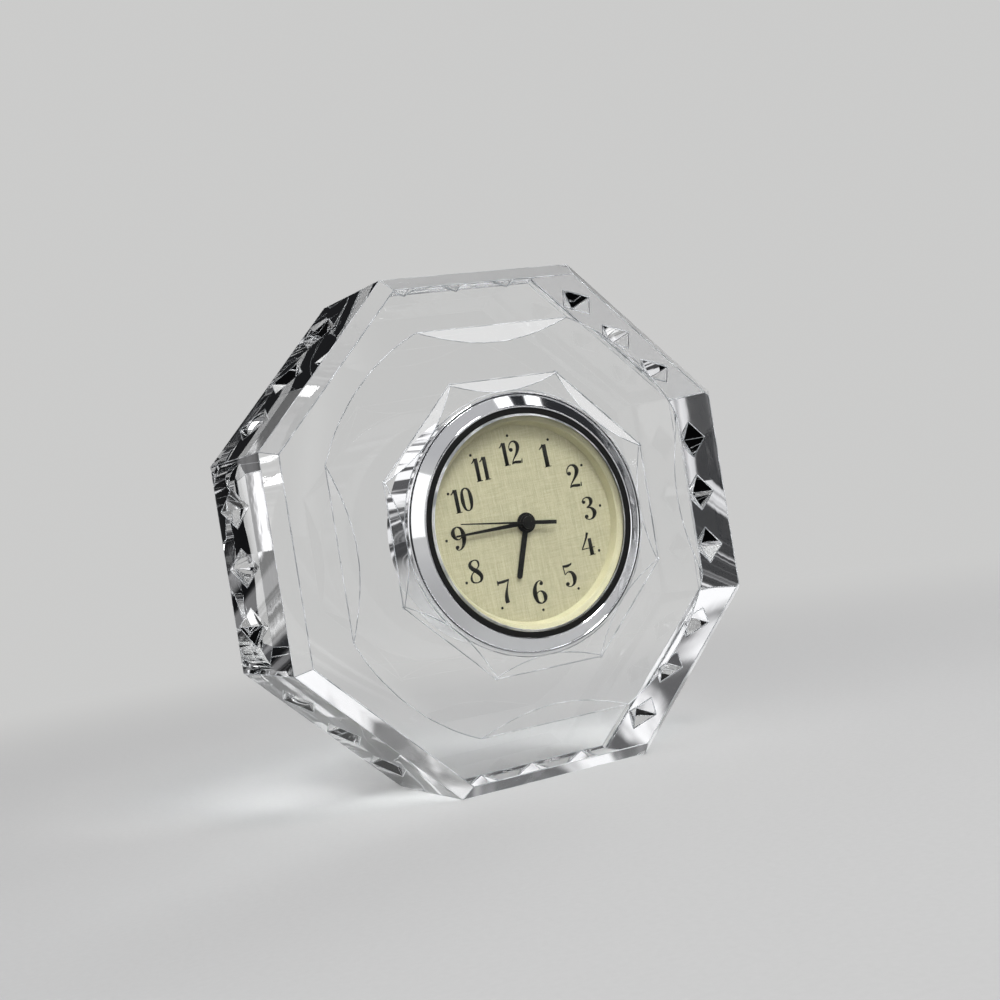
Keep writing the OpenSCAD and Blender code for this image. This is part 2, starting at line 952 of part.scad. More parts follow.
module board_screws() {
    color("silver")
        insert_frame()
            for (i = [0, 1])
                translate(pillars[i]) screw(board_back, board_t + bridge_t + 2);
}

module core_screws() {
    color("silver")
        insert_frame()
            for (s = [-1, 1])
                translate([core_x, s * core_y]) screw(core_back, core_t + stator_t + 1);
}

crystal_block();
grip_ring();
case_cup();
bezel();
lens();
lens_gasket();
dial_flange();
dial_plate();
hour_hand();
minute_hand();
second_hand();
hour_wheel();
minute_wheel();
center_wheel();
third_wheel();
second_wheel();
fifth_wheel();
rotor();
stator();
coil_core();
coil();
main_plate();
train_bridge();
circuit_board();
control_chip();
quartz_can();
button_cell();
cell_minus_clip();
cell_plus_clip();
back_cover();
battery_hatch();
setting_knob();
plate_screws();
bridge_screws();
board_screws();
core_screws();
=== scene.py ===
import bmesh
import bpy
import math
from mathutils import Matrix, Vector


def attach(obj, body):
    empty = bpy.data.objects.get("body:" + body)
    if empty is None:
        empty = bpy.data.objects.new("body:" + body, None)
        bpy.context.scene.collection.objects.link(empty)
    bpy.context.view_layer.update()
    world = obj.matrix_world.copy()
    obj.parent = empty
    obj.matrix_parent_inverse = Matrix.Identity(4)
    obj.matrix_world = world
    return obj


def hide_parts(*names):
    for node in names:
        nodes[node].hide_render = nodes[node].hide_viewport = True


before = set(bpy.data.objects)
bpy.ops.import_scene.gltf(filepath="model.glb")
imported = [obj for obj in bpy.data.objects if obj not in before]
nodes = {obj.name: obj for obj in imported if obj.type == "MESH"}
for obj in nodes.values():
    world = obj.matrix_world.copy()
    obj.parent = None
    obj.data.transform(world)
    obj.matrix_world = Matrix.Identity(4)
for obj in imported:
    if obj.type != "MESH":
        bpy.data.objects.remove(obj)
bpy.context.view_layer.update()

# Camera
# The photograph looks at the dial from about 27 degrees to its left, level with its middle. The block
# leans there and stands upright here, so the camera is rolled instead.
EYE = Vector((-0.1421, -0.2828, 0.05375))
AHEAD = Vector((0.4571, 0.8894, -0.0001)).normalized()
ROLLED_UP = Vector((0.1416, -0.0727, 0.9873))
LENS_MM = 57.8

to_right = AHEAD.cross(ROLLED_UP).normalized()
camera = bpy.data.objects.new("camera", bpy.data.cameras.new("camera"))
camera.matrix_world = Matrix.Translation(EYE) @ Matrix(
    (to_right, to_right.cross(AHEAD), -AHEAD)).transposed().to_4x4()
camera.data.sensor_width = 36
camera.data.lens = LENS_MM
camera.data.clip_start = 0.01
bpy.context.collection.objects.link(camera)
bpy.context.scene.camera = camera
bpy.context.scene.view_settings.view_transform = "Standard"

# Floor, backdrop and lights
# A pale studio with a seamless floor. Cut glass and chrome need dark and bright shapes to show against,
# so the room that they mirror or bend also holds a dark side, a ceiling, a ring lamp, a screen and a flag.
PALE = (0.60, 0.60, 0.595)
DARK = (0.03, 0.031, 0.034)
FILL = (0.30, 0.30, 0.31)
FLOOR_R = 6.0
FLOOR_FADE = (0.11, 0.40)

# Parts of the room at eye level: azimuth from +X, reach to either side and soft edge, in degrees
DARK_SIDE = (-41, 50, 6)
SCREEN_PLACE = (-79, 10, 3)
STRIP_PLACE = (-62.2, 3.4, 1.8)
FLAG_PLACE = (117, 9, 4)
SCREEN_GAPS = (0.30, 0.30, 0.30)
SCREEN = (1.5, 1.5, 1.52)
FLAG_GLEAM = (0.85, 0.85, 0.87)

# Ceiling: the heights where it starts and is full, and how much higher both are at the left front. A light
# panel and two sparks in it are for mirrors, each a direction, reach and soft edge. Patches are for glass.
CEILING_FROM = 0.14
CEILING_FULL = 0.32
CEILING_RISE = 0.42
LEFT_FRONT = (228, 40, 20)
PANEL_PLACE = ((-0.10, -0.60, 0.79), 31, 8)
PANEL = (0.52, 0.52, 0.53)
SPARK_PLACES = (((0.427, -0.324, 0.844), 2.6, 3), ((0.641, -0.206, 0.739), 2.6, 3))
SPARK = (4.0, 4.0, 4.0)
PATCH_GAPS = (0.08, 0.08, 0.085)
PATCH = (1.05, 1.05, 1.07)

# Ring lamp round the direction that the dial mirrors. Its edges are cosines of the angle off the middle,
# and it fades out towards the floor over the heights of its foot.
RING_AZIMUTH = -62.8
RING_OUTER = (0.900, 0.922)
RING_INNER = (0.957, 0.967)
RING_FOOT = (0.0, 0.09)
RING = (4.2, 4.2, 4.3)
RING_LOSS_IN_GLASS = 0.85


class Value:
    """A node's output that takes part in Python arithmetic. Each operator adds its Math node."""

    def __init__(self, tree, socket):
        self.tree, self.socket = tree, socket

    def out(self, name):
        return Value(self.tree, self.socket.node.outputs[name])

    def math(self, operation, first, second):
        return self.tree.node("ShaderNodeMath", {"operation": operation}, {0: first, 1: second})

    def __add__(self, other):
        return self.math("ADD", self, other)

    def __sub__(self, other):
        return self.math("SUBTRACT", self, other)

    def __rsub__(self, other):
        return self.math("SUBTRACT", other, self)

    def __mul__(self, other):
        return self.math("MULTIPLY", self, other)

    def __truediv__(self, other):
        return self.math("DIVIDE", self, other)

    __radd__ = __add__
    __rmul__ = __mul__


class Tree:
    """The nodes of one finish, of the world, or of one piece's shape."""

    def __init__(self, data):
        self.data = data
        data.nodes.clear()

    def node(self, kind, settings=(), inputs=(), out=0):
        made = self.data.nodes.new(kind)
        for name, value in dict(settings).items():
            setattr(made, name, value)
        for name, value in dict(inputs).items():
            socket = made.inputs[name]
            if isinstance(value, Value):
                self.data.links.new(value.socket, socket)
            elif socket.type == "RGBA":
                socket.default_value = (*value, 1)
            else:
                socket.default_value = value
        return Value(self, made.outputs[out]) if made.outputs else None

    def vector(self, operation, first, second=(0, 0, 0), out=0):
        return self.node("ShaderNodeVectorMath", {"operation": operation}, {0: first, 1: second}, out)

    def noise(self, at, scale, detail, distortion=0.0):
        return self.node("ShaderNodeTexNoise", {}, {
            "Vector": at, "Scale": scale, "Detail": detail, "Distortion": distortion}, "Fac")

    def ease(self, value, low, high, first=0.0, last=1.0):
        """Goes smoothly from first to last as value goes from low to high."""
        return self.node("ShaderNodeMapRange", {"interpolation_type": "SMOOTHSTEP"}, {
            "Value": value, "From Min": low, "From Max": high, "To Min": first, "To Max": last})

    def blend(self, share, first, second):
        """Colour between first and second."""
        return self.node("ShaderNodeMix", {"data_type": "RGBA"}, {0: share, 6: first, 7: second}, 2)

    def shown(self):
        """1 for rays that show the background: straight, mirrored or through glass."""
        ray = self.node("ShaderNodeLightPath")
        not_straight = ray.math("MAXIMUM", ray.out("Is Glossy Ray"), ray.out("Is Transmission Ray"))
        return ray.math("MAXIMUM", ray.out("Is Camera Ray"), not_straight)


def new_finish(name):
    finish = bpy.data.materials.new(name)
    finish.use_nodes = True
    return finish, Tree(finish.node_tree)


def flat_direction(azimuth):
    a = math.radians(azimuth)
    return math.cos(a), math.sin(a), 0


def towards(t, direction, centre, wide, soft):
    """1 within wide degrees of the centre, falling to 0 over soft degrees."""
    share = t.vector("DOT_PRODUCT", direction, Vector(centre).normalized(), "Value")
    return t.ease(share, math.cos(math.radians(wide + soft)), math.cos(math.radians(wide)))


def around(t, flat, azimuth, wide, soft):
    """The same on the room's plan, where flat is a level direction."""
    return towards(t, flat, flat_direction(azimuth), wide, soft)


def level(t, direction):
    """The direction as seen on a plan of the room."""
    return t.vector("NORMALIZE", t.vector("MULTIPLY", direction, (1, 1, 0)))


def room_side(t, flat, ray):
    """The room at eye level. Its dark side is plain for mirrors, and a screen and a dark strip for glass."""
    bent = ray.out("Is Transmission Ray")
    streaks = t.ease(t.noise(flat, 55.0, 3.0), 0.47, 0.60)
    screen = t.blend(streaks, SCREEN_GAPS, SCREEN)
    side = t.blend(around(t, flat, *SCREEN_PLACE), t.blend(bent, DARK, PALE), t.blend(bent, DARK, screen))
    side = t.blend(around(t, flat, *STRIP_PLACE), side, DARK)
    side = t.blend(around(t, flat, *DARK_SIDE), PALE, side)
    return t.blend(around(t, flat, *FLAG_PLACE), side, t.blend(streaks, DARK, FLAG_GLEAM))


world = bpy.data.worlds.new("studio")
bpy.context.scene.world = world
world.use_nodes = True
t = Tree(world.node_tree)
direction = t.node("ShaderNodeTexCoord", out="Generated")
flat = level(t, direction)
height = t.node("ShaderNodeSeparateXYZ", inputs={0: direction}).out("Z")
ray = t.node("ShaderNodeLightPath")
bent = ray.out("Is Transmission Ray")
ceiling = t.blend(towards(t, direction, *PANEL_PLACE), DARK, PANEL)
for spark_place in SPARK_PLACES:
    ceiling = t.blend(towards(t, direction, *spark_place), ceiling, SPARK)
patches = t.ease(t.noise(direction, 12.0, 3.0, 0.8), 0.46, 0.58)
ceiling = t.blend(bent, ceiling, t.blend(patches, PATCH_GAPS, PATCH))
above = t.ease(height - CEILING_RISE * around(t, flat, *LEFT_FRONT), CEILING_FROM, CEILING_FULL)
room = t.blend(above, room_side(t, flat, ray), ceiling)
off_middle = t.vector("DOT_PRODUCT", direction, flat_direction(RING_AZIMUTH), "Value")
ring = t.ease(off_middle, *RING_OUTER) * t.ease(off_middle, *RING_INNER, 1.0, 0.0)
ring = ring * t.ease(height, *RING_FOOT)
room = t.blend(ring * (1.0 - RING_LOSS_IN_GLASS * bent), room, RING)
seen = t.blend(ray.out("Is Camera Ray"), t.blend(t.shown(), FILL, room), PALE)
t.node("ShaderNodeOutputWorld", inputs={"Surface": t.node("ShaderNodeBackground", inputs={
    "Color": seen, "Strength": 1.0})})

floor_finish, t = new_finish("studio_floor")
place = t.node("ShaderNodeTexCoord", out="Object")
far = t.ease(t.vector("LENGTH", place, out="Value"), *FLOOR_FADE)
sheet = t.node("ShaderNodeBsdfDiffuse", inputs={
    "Color": t.blend(t.noise(place, 900.0, 3.0), PALE, (0.64, 0.64, 0.635)), "Roughness": 0.5})
ray = t.node("ShaderNodeLightPath")
glow = t.node("ShaderNodeEmission", inputs={
    "Color": t.blend(ray.out("Is Camera Ray"), room_side(t, level(t, place), ray), PALE)})
t.node("ShaderNodeOutputMaterial", inputs={"Surface": t.node("ShaderNodeMixShader", inputs={
    0: far * t.shown(), 1: sheet, 2: glow})})
bm = bmesh.new()
bmesh.ops.create_circle(bm, cap_ends=True, radius=FLOOR_R, segments=96)
mesh = bpy.data.meshes.new("floor")
bm.to_mesh(mesh)
bm.free()
mesh.materials.append(floor_finish)
floor = bpy.data.objects.new("floor", mesh)
bpy.context.collection.objects.link(floor)


def softbox(name, at, wide, high, power):
    """A rectangular lamp that faces the dial."""
    lamp = bpy.data.lights.new(name, "AREA")
    lamp.shape, lamp.size, lamp.size_y, lamp.energy = "RECTANGLE", wide, high, power
    holder = bpy.data.objects.new(name, lamp)
    holder.location = at
    holder.rotation_mode = "QUATERNION"
    holder.rotation_quaternion = (Vector((0, 0, 0.05)) - Vector(at)).to_track_quat("-Z", "Y")
    bpy.context.collection.objects.link(holder)


softbox("overhead_box", at=(0.05, -0.44, 0.54), wide=0.15, high=0.12, power=2.4)
softbox("left_box", at=(-0.62, -0.42, 0.30), wide=0.90, high=0.50, power=0.95)
softbox("back_box", at=(0.52, 0.36, 0.46), wide=0.26, high=0.20, power=1.5)

# Crystal block
# One piece of clear lead crystal, cut to an octagon: bevelled front edge, ground facets round the dial,
# three diamond cuts in each side wall, a blind bore from the front. Every face is cut and polished.
MM = 0.001
AXIS_Z = 0.0487
BORE_R = 22.5 * MM

# Radius of the thin white rods that paint a highlight along the cut edges, how far back the front reaches,
# and from how many degrees an edge gets a painted highlight rod, or is just sharp
ARRIS_R = {"front": 0.10 * MM, "wall": 0.07 * MM}
FRONT_ENDS_Y = -14.5 * MM
HIGHLIGHT_FROM = 2.5
SHARP_FROM = 1.5


def merged_copy(node):
    """The CAD node's faces with shared corners, and flat faces in one piece."""
    bm = bmesh.new()
    bm.from_mesh(nodes[node].data)
    bmesh.ops.remove_doubles(bm, verts=bm.verts, dist=2e-6)
    bmesh.ops.dissolve_limit(bm, angle_limit=math.radians(0.2), verts=bm.verts, edges=bm.edges)
    return bm


def piece(name, mesh, finish, body, slot, *replaced):
    """Adds a finished mesh, in place, and hangs it on its body."""
    mesh.materials.clear()
    mesh.materials.append(finish)
    made = bpy.data.objects.new(name, mesh)
    bpy.context.collection.objects.link(made)
    if replaced:
        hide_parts(*replaced)
    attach(made, body)
    return made


def grain(t, size, stretch=(1, 1, 1), detail=2.0, at=None):
    """Noise whose grains are size metres wide, drawn out along an axis by its share in stretch."""
    at = at or t.node("ShaderNodeTexCoord", out="Object")
    at = t.node("ShaderNodeMapping", inputs={"Vector": at, "Scale": [1 / s for s in stretch]})
    return t.noise(at, 1 / size, detail)


def bumped(t, height, depth, strength=1.0):
    return t.node("ShaderNodeBump", inputs={"Height": height, "Distance": depth, "Strength": strength})


def lets_lamps_through(t, glass, tint):
    """Glass for the eye, clear for shadow rays, so that lamps light what is behind it."""
    ray = t.node("ShaderNodeLightPath")
    clear = t.node("ShaderNodeBsdfTransparent", inputs={"Color": tint})
    t.node("ShaderNodeOutputMaterial", inputs={"Surface": t.node("ShaderNodeMixShader", inputs={
        0: ray.out("Is Shadow Ray"), 1: glass, 2: clear})})


def solid(t, **inputs):
    """Closes the tree with one Principled surface."""
    t.node("ShaderNodeOutputMaterial", inputs={
        "Surface": t.node("ShaderNodeBsdfPrincipled", inputs=inputs)})


crystal, t = new_finish("cut_crystal")
smear = t.ease(grain(t, 0.012, detail=3), 0.55, 0.8)
lets_lamps_through(t, t.node("ShaderNodeBsdfPrincipled", inputs={
    "Base Color": t.blend(smear, (0.995, 0.998, 0.998), (0.97, 0.98, 0.98)),
    "Roughness": 0.004 + smear * 0.02,
    "IOR": 1.54,
    "Transmission Weight": 1.0,
    "Normal": bumped(t, grain(t, 0.006), 0.00001, 0.12)}), (0.90, 0.915, 0.92))

# Painted highlight: the cut edges get white rods inside the glass, standing for the light that their
# polished arrises catch. The painted glints make the rods brighter and darker along their length.
arris_highlight_finish, t = new_finish("crystal_edge_highlight")
chips = grain(t, 0.00025, detail=4)
painted_glints = t.ease(grain(t, 0.005, detail=3), 0.42, 0.60)
solid(t, **{"Base Color": t.blend(painted_glints, (0.50, 0.52, 0.54), (0.97, 0.98, 1.0)),
            "Roughness": 0.15 + chips * 0.35, "Transmission Weight": 0.35,
            "Normal": bumped(t, chips, 0.00004)})


def in_bore(point):
    return math.hypot(point.x, point.z - AXIS_Z) < BORE_R + 0.1 * MM


def is_arris(edge, least):
    """True for an edge where two cut faces meet, but not for the steps of the round bore."""
    if not edge.is_manifold or edge.calc_face_angle(0) < math.radians(least):
        return False
    round_wall = all(abs(f.normal.y) < 0.02 for f in edge.link_faces)
    return not (round_wall and all(in_bore(v.co) for v in edge.verts))


bm = merged_copy("crystal_block")
paths = {place: bmesh.new() for place in ARRIS_R}
for edge in bm.edges:
    edge.smooth = not is_arris(edge, SHARP_FROM)
    a, b = (v.co for v in edge.verts)
    if not is_arris(edge, HIGHLIGHT_FROM) or (in_bore(a) and in_bore(b)):
        continue
    place = "front" if max(a.y, b.y) < FRONT_ENDS_Y else "wall"
    normal = edge.link_faces[0].normal
    between = (normal + edge.link_faces[1].normal).normalized()
    inwards = -between * ARRIS_R[place] / max(between.dot(normal), 0.5)
    ends = [paths[place].verts.new(end + inwards) for end in (a, b)]
    paths[place].edges.new(ends)
for face in bm.faces:
    face.smooth = True
mesh = bpy.data.meshes.new("crystal")
bm.to_mesh(mesh)
bm.free()
piece("cut_crystal_block", mesh, crystal, "block", "crystal", "crystal_block")


def grown(name, start, sizes, build, finish, body, slot, place=Matrix()):
    """Runs a Geometry Nodes tree with named sizes on a start mesh and keeps the plain result."""
    group = bpy.data.node_groups.new(name, "GeometryNodeTree")
    group.interface.new_socket("Geometry", in_out="INPUT", socket_type="NodeSocketGeometry")
    for label, size in sizes.items():
        kind = "NodeSocketInt" if isinstance(size, int) else "NodeSocketFloat"
        group.interface.new_socket(label, in_out="INPUT", socket_type=kind)
    group.interface.new_socket("Geometry", in_out="OUTPUT", socket_type="NodeSocketGeometry")
    t = Tree(group)
    shape = build(t, t.node("NodeGroupInput"))
    shape = t.node("GeometryNodeRealizeInstances", inputs={"Geometry": shape})
    shape = t.node("GeometryNodeSetMaterial", inputs={"Geometry": shape, "Material": finish})
    t.node("NodeGroupOutput", inputs={0: shape})
    holder = bpy.data.objects.new(name + "_start", start)
    bpy.context.collection.objects.link(holder)
    run = holder.modifiers.new(name, "NODES")
    run.node_group = group
    for item in group.interface.items_tree:
        if item.in_out == "INPUT" and item.name in sizes:
            run[item.identifier] = sizes[item.name]
    graph = bpy.context.evaluated_depsgraph_get()
    mesh = bpy.data.meshes.new_from_object(holder.evaluated_get(graph))
    bpy.data.objects.remove(holder)
    mesh.transform(place)
    mesh.shade_smooth()
    mesh.set_sharp_from_angle(angle=math.radians(35))
    piece(name, mesh, finish, body, slot)


def rods(t, given):
    """A thin closed rod along every edge of the start mesh."""
    section = t.node("GeometryNodeCurvePrimitiveCircle", inputs={
        "Resolution": given.out("Sides"), "Radius": given.out("Radius")})
    return t.node("GeometryNodeCurveToMesh", inputs={
        "Curve": t.node("GeometryNodeMeshToCurve", inputs={"Mesh": given.out("Geometry")}),
        "Profile Curve": section, "Fill Caps": True})


# White rods along the cut edges, the painted highlights of the arrises
for place, path in paths.items():
    mesh = bpy.data.meshes.new(place + "_paths")
    path.to_mesh(mesh)
    path.free()
    grown(place + "_arris_highlights", mesh, {"Sides": 6, "Radius": ARRIS_R[place]}, rods, arris_highlight_finish, "block", "crystal")

# Insert case and grip ring
# A deep-drawn aluminium cup, anodised dark, with a moulded rubber ring of three lips round it. The lips
# bend against the bore and hold the insert by friction alone.

# The block's front rim, the bezel's seat above it, and how far the insert is turned in its bore
FRONT_RIM_Y = -14.95
SEAT_H = 1.15
TURN = math.radians(3)

# Grip ring: radii of its inside, root, back and lips, and heights from the seat
GRIP_IN_R = 21.73
GRIP_ROOT_R = 22.12
GRIP_BACK_R = 22.1
GRIP_FRONT = -5.45
GRIP_BACK = -11.45
LIP_R = 22.4
LIP_PLACES = (-6.45, -8.45, -10.45)
LIP_HALF = 0.6


def spot(x, y, h):
    """Place in the insert in millimetres, right and up on its dial and out from the bezel's seat."""
    return Vector((x * math.cos(TURN) - y * math.sin(TURN), FRONT_RIM_Y - SEAT_H - h,
                   x * math.sin(TURN) + y * math.cos(TURN) + AXIS_Z / MM)) * MM


def turned(profile, steps=144):
    """Lathe work round the insert's axis, from a closed section of (radius, height) points."""
    bm = bmesh.new()
    angles = [math.tau * k / steps for k in range(steps)]
    rings = [[bm.verts.new(spot(r * math.cos(a), r * math.sin(a), h)) for a in angles] if r else
             [bm.verts.new(spot(0, 0, h))] * steps for r, h in profile]
    for one, two in zip(rings, rings[1:] + rings[:1]):
        for k in range(steps):
            corners = list(dict.fromkeys((one[k - 1], one[k], two[k], two[k - 1])))
            if len(corners) > 2:
                bm.faces.new(corners)
    bmesh.ops.recalc_face_normals(bm, faces=bm.faces)
    return bm


def to_mesh(bm, name, corner=30):
    """Plain mesh, smooth but for edges sharper than corner degrees."""
    mesh = bpy.data.meshes.new(name)
    bm.to_mesh(mesh)
    bm.free()
    mesh.shade_smooth()
    mesh.set_sharp_from_angle(angle=math.radians(corner))
    return mesh


def edged(made, width, steps=2, corner=25):
    """Rounds the piece's sharp edges by width millimetres."""
    bevel = made.modifiers.new("edges", "BEVEL")
    bevel.width, bevel.segments = width * MM, steps
    bevel.limit_method, bevel.angle_limit = "ANGLE", math.radians(corner)
    bevel.harden_normals = True


def grained(name, size, dark, light, roughness, relief, stretch=(1, 1, 1), detail=3.0, **more):
    """One grain sets colour, roughness (least, spread) and relief (depth, strength) of the finish."""
    finish, t = new_finish(name)
    noise = grain(t, size, stretch, detail)
    solid(t, **{"Base Color": t.blend(noise, dark, light), "Roughness": roughness[0] + noise * roughness[1],
                "Normal": bumped(t, noise, *relief), **more})
    return finish


anodised = grained("anodised_case", size=0.0004, dark=(0.10, 0.10, 0.105), light=(0.16, 0.16, 0.165),
                   roughness=(0.28, 0.2), relief=(0.00001, 0.4), stretch=(1, 30, 1), Metallic=0.9)
case = piece("case_cup_drawn", to_mesh(merged_copy("case_cup"), "case"), anodised, "insert",
             "case_metal", "case_cup")
edged(case, width=0.08)

rubber = grained("grip_rubber", size=0.0003, dark=(0.012, 0.012, 0.012), light=(0.035, 0.035, 0.034),
                 roughness=(0.55, 0.25), relief=(0.00003, 0.5), detail=4)
lips = [(GRIP_IN_R, GRIP_BACK), (GRIP_IN_R, GRIP_FRONT)]
for lip in LIP_PLACES:
    lips += [(GRIP_ROOT_R, lip + LIP_HALF), (LIP_R, lip), (GRIP_ROOT_R, lip - LIP_HALF)]
lips.append((GRIP_BACK_R, GRIP_BACK))
grip = piece("grip_ring_moulded", to_mesh(turned(lips), "grip"), rubber, "insert", "grip_rubber",
             "grip_ring")
edged(grip, width=0.06)

# Dial plate
# Thin aluminium disc in pale champagne, brushed upright with a faint cross grain, lacquered. Two feet
# go into the case's ledge.
DIAL_H = -1.65

# The brushing runs along the dial's own upright, so its coordinates are turned with the insert
champagne, t = new_finish("brushed_champagne")
own_upright = t.node("ShaderNodeVectorRotate", {"rotation_type": "Y_AXIS"}, {
    "Vector": t.node("ShaderNodeTexCoord", out="Object"), "Center": (0, 0, AXIS_Z), "Angle": TURN})
upright = grain(t, 0.00008, (1, 1, 40), 2, own_upright)
bands = grain(t, 0.0005, (1, 1, 30), 1, own_upright)
across = grain(t, 0.00010, (26, 1, 1), 2, own_upright)
brush = upright * 0.5 + bands * 0.15 + across * 0.35
tone = t.ease(brush, 0.38, 0.62)
solid(t, **{"Base Color": t.blend(tone, (0.46, 0.43, 0.28), (0.60, 0.57, 0.395)), "Metallic": 0.2,
            "Roughness": 0.36 + upright * 0.2, "Coat Weight": 0.15,
            "Normal": bumped(t, brush, 0.00003, 0.3)})
dial = piece("dial_plate_brushed", to_mesh(merged_copy("dial_plate"), "dial"), champagne, "insert",
             "dial_metal", "dial_plate")
edged(dial, width=0.04)

# Numerals and minute dots
# Printed in black on the dial: upright numerals of strong thick and thin strokes with ball ends, each
# with a small round dot outside it.
INK_THICK = 0.012
DOT_RING_R = 16.8
DOT_R = 0.27
DOT_SIDES = 20
BALL_SIDES = 24

# The numerals stand on an oval, given by its half width and half height. Two figures move in on it, and a
# figure on its own is made wider.
NUMERAL_OVAL = (14.2, 13.45)
NUMERAL_TALL = 4.45
GAP = 0.22
TWO_FIGURES_INWARDS = 0.5
ONE_FIGURE_WIDER = 1.16
STEM = 0.088
HAIR = 0.024

# Each figure, one unit tall: its width, its strokes as points (x, y, half width), its balls (x, y, radius)
DIGITS = {
    "1": (0.34, [[(-0.02, 0.80, HAIR), (0.07, 0.87, 0.03), (0.16, 0.985, 0.045)],
                 [(0.20, 0.985, STEM), (0.20, 0.0, STEM)],
                 [(0.07, 0.015, 0.018), (0.36, 0.015, 0.018)]], []),
    "2": (0.56, [[(0.045, 0.64, HAIR), (0.06, 0.79, HAIR), (0.15, 0.925, 0.028), (0.28, 0.975, 0.034),
                  (0.42, 0.90, 0.068), (0.47, 0.74, 0.088), (0.42, 0.56, 0.075), (0.30, 0.38, 0.045),
                  (0.17, 0.22, 0.028), (0.09, 0.09, 0.022), (0.07, 0.01, HAIR)],
                 [(0.07, 0.05, 0.035), (0.20, 0.085, 0.055), (0.36, 0.065, 0.062), (0.50, 0.055, 0.055)],
                 [(0.53, 0.0, HAIR), (0.56, 0.18, HAIR)]], [(0.125, 0.63, 0.085)]),
    "3": (0.56, [[(0.05, 0.80, HAIR), (0.11, 0.92, 0.022), (0.25, 0.98, 0.026), (0.39, 0.92, 0.06),
                  (0.43, 0.78, 0.078), (0.36, 0.63, 0.05), (0.20, 0.545, 0.018)],
                 [(0.20, 0.545, 0.018), (0.38, 0.49, 0.045), (0.49, 0.30, 0.088), (0.42, 0.10, 0.06),
                  (0.27, 0.02, 0.024), (0.12, 0.06, HAIR), (0.05, 0.16, HAIR)]],
          [(0.12, 0.80, 0.075), (0.12, 0.17, 0.08)]),
    "4": (0.56, [[(0.36, 1.0, 0.055), (0.25, 0.74, 0.04), (0.02, 0.33, HAIR)],
                 [(0.0, 0.33, 0.022), (0.56, 0.33, 0.022)],
                 [(0.40, 0.74, 0.07), (0.40, 0.0, STEM)],
                 [(0.27, 0.015, 0.018), (0.54, 0.015, 0.018)]], []),
    "5": (0.52, [[(0.05, 0.93, 0.045), (0.20, 0.905, 0.06), (0.36, 0.94, 0.045), (0.43, 1.0, 0.015)],
                 [(0.05, 0.97, HAIR), (0.07, 0.55, 0.018)],
                 [(0.07, 0.55, 0.018), (0.20, 0.645, 0.025), (0.36, 0.59, 0.06), (0.44, 0.37, 0.09),
                  (0.38, 0.12, 0.06), (0.24, 0.02, 0.024), (0.10, 0.06, HAIR), (0.04, 0.14, HAIR)]],
          [(0.105, 0.15, 0.082)]),
    "6": (0.56, [[(0.47, 0.88, HAIR), (0.42, 0.96, HAIR), (0.32, 0.985, 0.022), (0.19, 0.88, 0.05),
                  (0.10, 0.66, 0.08), (0.08, 0.40, 0.088), (0.14, 0.13, 0.055), (0.29, 0.02, 0.022)],
                 [(0.29, 0.02, 0.022), (0.43, 0.11, 0.055), (0.48, 0.29, 0.085), (0.42, 0.48, 0.055),
                  (0.30, 0.56, 0.022), (0.18, 0.50, HAIR), (0.11, 0.38, HAIR)]],
          [(0.41, 0.86, 0.075)]),
    "7": (0.50, [[(0.04, 0.915, 0.05), (0.24, 0.915, 0.06), (0.47, 0.94, 0.045)],
                 [(0.02, 1.0, HAIR), (0.02, 0.80, HAIR)],
                 [(0.49, 0.98, 0.022), (0.38, 0.70, 0.03), (0.29, 0.40, 0.062), (0.26, 0.15, 0.085),
                  (0.27, 0.0, 0.085)]], []),
    "8": (0.54, [[(0.29, 0.98, 0.022), (0.15, 0.92, 0.045), (0.10, 0.78, 0.07), (0.19, 0.62, 0.085),
                  (0.36, 0.46, 0.09), (0.47, 0.26, 0.075), (0.42, 0.08, 0.045), (0.27, 0.02, 0.022)],
                 [(0.27, 0.02, 0.022), (0.11, 0.08, 0.035), (0.06, 0.23, 0.045), (0.12, 0.41, 0.026),
                  (0.28, 0.55, HAIR), (0.42, 0.68, 0.026), (0.45, 0.82, 0.04), (0.40, 0.94, 0.03),
                  (0.29, 0.98, 0.022)]], []),
    "0": (0.56, [[(0.28, 0.98, HAIR), (0.13, 0.86, 0.055), (0.08, 0.5, 0.088), (0.13, 0.14, 0.055),
                  (0.28, 0.02, HAIR), (0.43, 0.14, 0.055), (0.48, 0.5, 0.088), (0.43, 0.86, 0.055),
                  (0.28, 0.98, HAIR)]], []),
}
# A nine is the six turned over
six_wide, six_strokes, six_balls = DIGITS["6"]
DIGITS["9"] = (six_wide, [[(six_wide - x, 1 - y, w) for x, y, w in s] for s in six_strokes],
               [(six_wide - x, 1 - y, r) for x, y, r in six_balls])


def curve_through(points, steps=7):
    """Points of a smooth curve through the given ones, the third number running along."""
    if len(points) == 2:
        return [Vector(p) for p in points]
    p = [Vector(q) for q in points]
    p = [2 * p[0] - p[1]] + p + [2 * p[-1] - p[-2]]
    out = []
    for a, b, c, d in zip(p, p[1:], p[2:], p[3:]):
        for k in range(steps):
            s = k / steps
            out.append(0.5 * (2 * b + (c - a) * s + (2 * a - 5 * b + 4 * c - d) * s * s
                              + (3 * b - a - 3 * c + d) * s ** 3))
    return out + [p[-2]]


